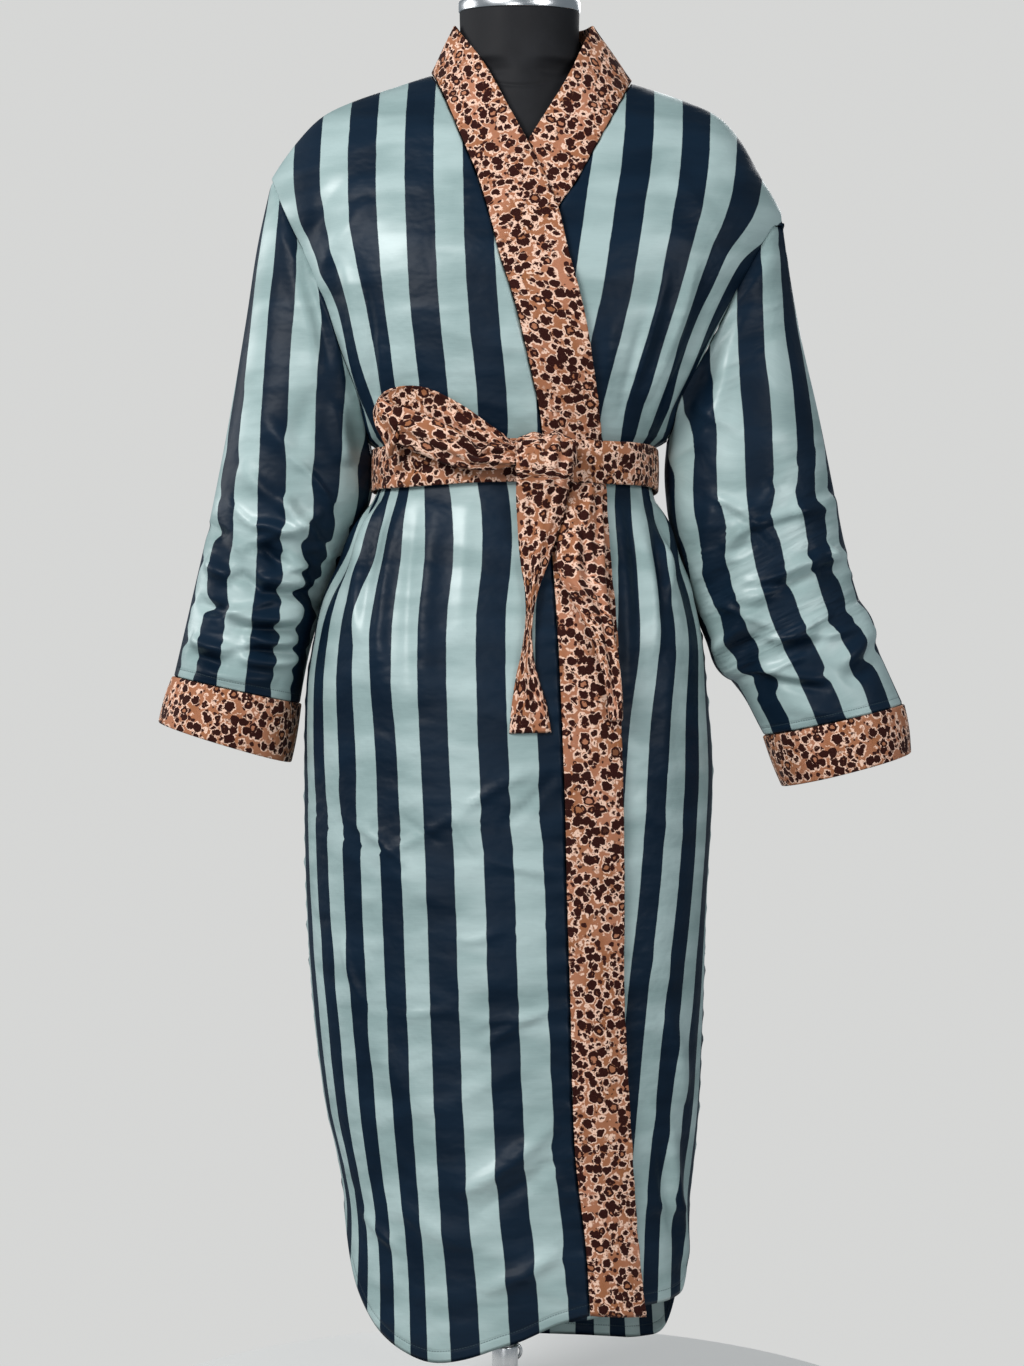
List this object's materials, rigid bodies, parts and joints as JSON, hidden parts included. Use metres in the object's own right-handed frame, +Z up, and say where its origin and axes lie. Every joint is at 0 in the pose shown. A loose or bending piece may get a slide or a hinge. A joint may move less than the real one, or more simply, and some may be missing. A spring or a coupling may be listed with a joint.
{
  "type": "kimono robe on dress form",
  "caption": "Long wrap robe of striped satin with wide sleeves, plush neckband, cuffs and tied belt, worn by a limbless dress form on a pole with a round base.",
  "frame": {"origin": "on the floor under the stand, where the axis of its pole meets the underside of the base plate", "axes": "+Z up the pole, -Y out of the robe's front, +X to the wearer's left"},
  "size_m": [0.722, 0.32, 1.3827],
  "materials": {
    "striped_satin": "satin weave with navy and sage stripes",
    "printed_plush": "short plush with a brown rosette print",
    "form_cloth": "matt black jersey",
    "chrome": "polished",
    "black_paint": "satin black"
  },
  "bodies": {
    "root": {"front_right": "striped_satin", "front_left": "striped_satin", "back": "striped_satin", "sleeve_right": "striped_satin", "sleeve_left": "striped_satin", "cuff_right": "printed_plush", "cuff_left": "printed_plush", "neckband_right": "printed_plush", "neckband_left": "printed_plush", "belt_wrap": "printed_plush", "belt_tail_1": "printed_plush", "belt_tail_2": "printed_plush", "belt_loop": "printed_plush", "belt_knot": "printed_plush", "form_torso": "form_cloth", "neck_cap": "chrome", "pole": "chrome", "pole_collar": "chrome", "collar_ring": "chrome", "base_plate": "black_paint"}
  },
  "joints": []
}
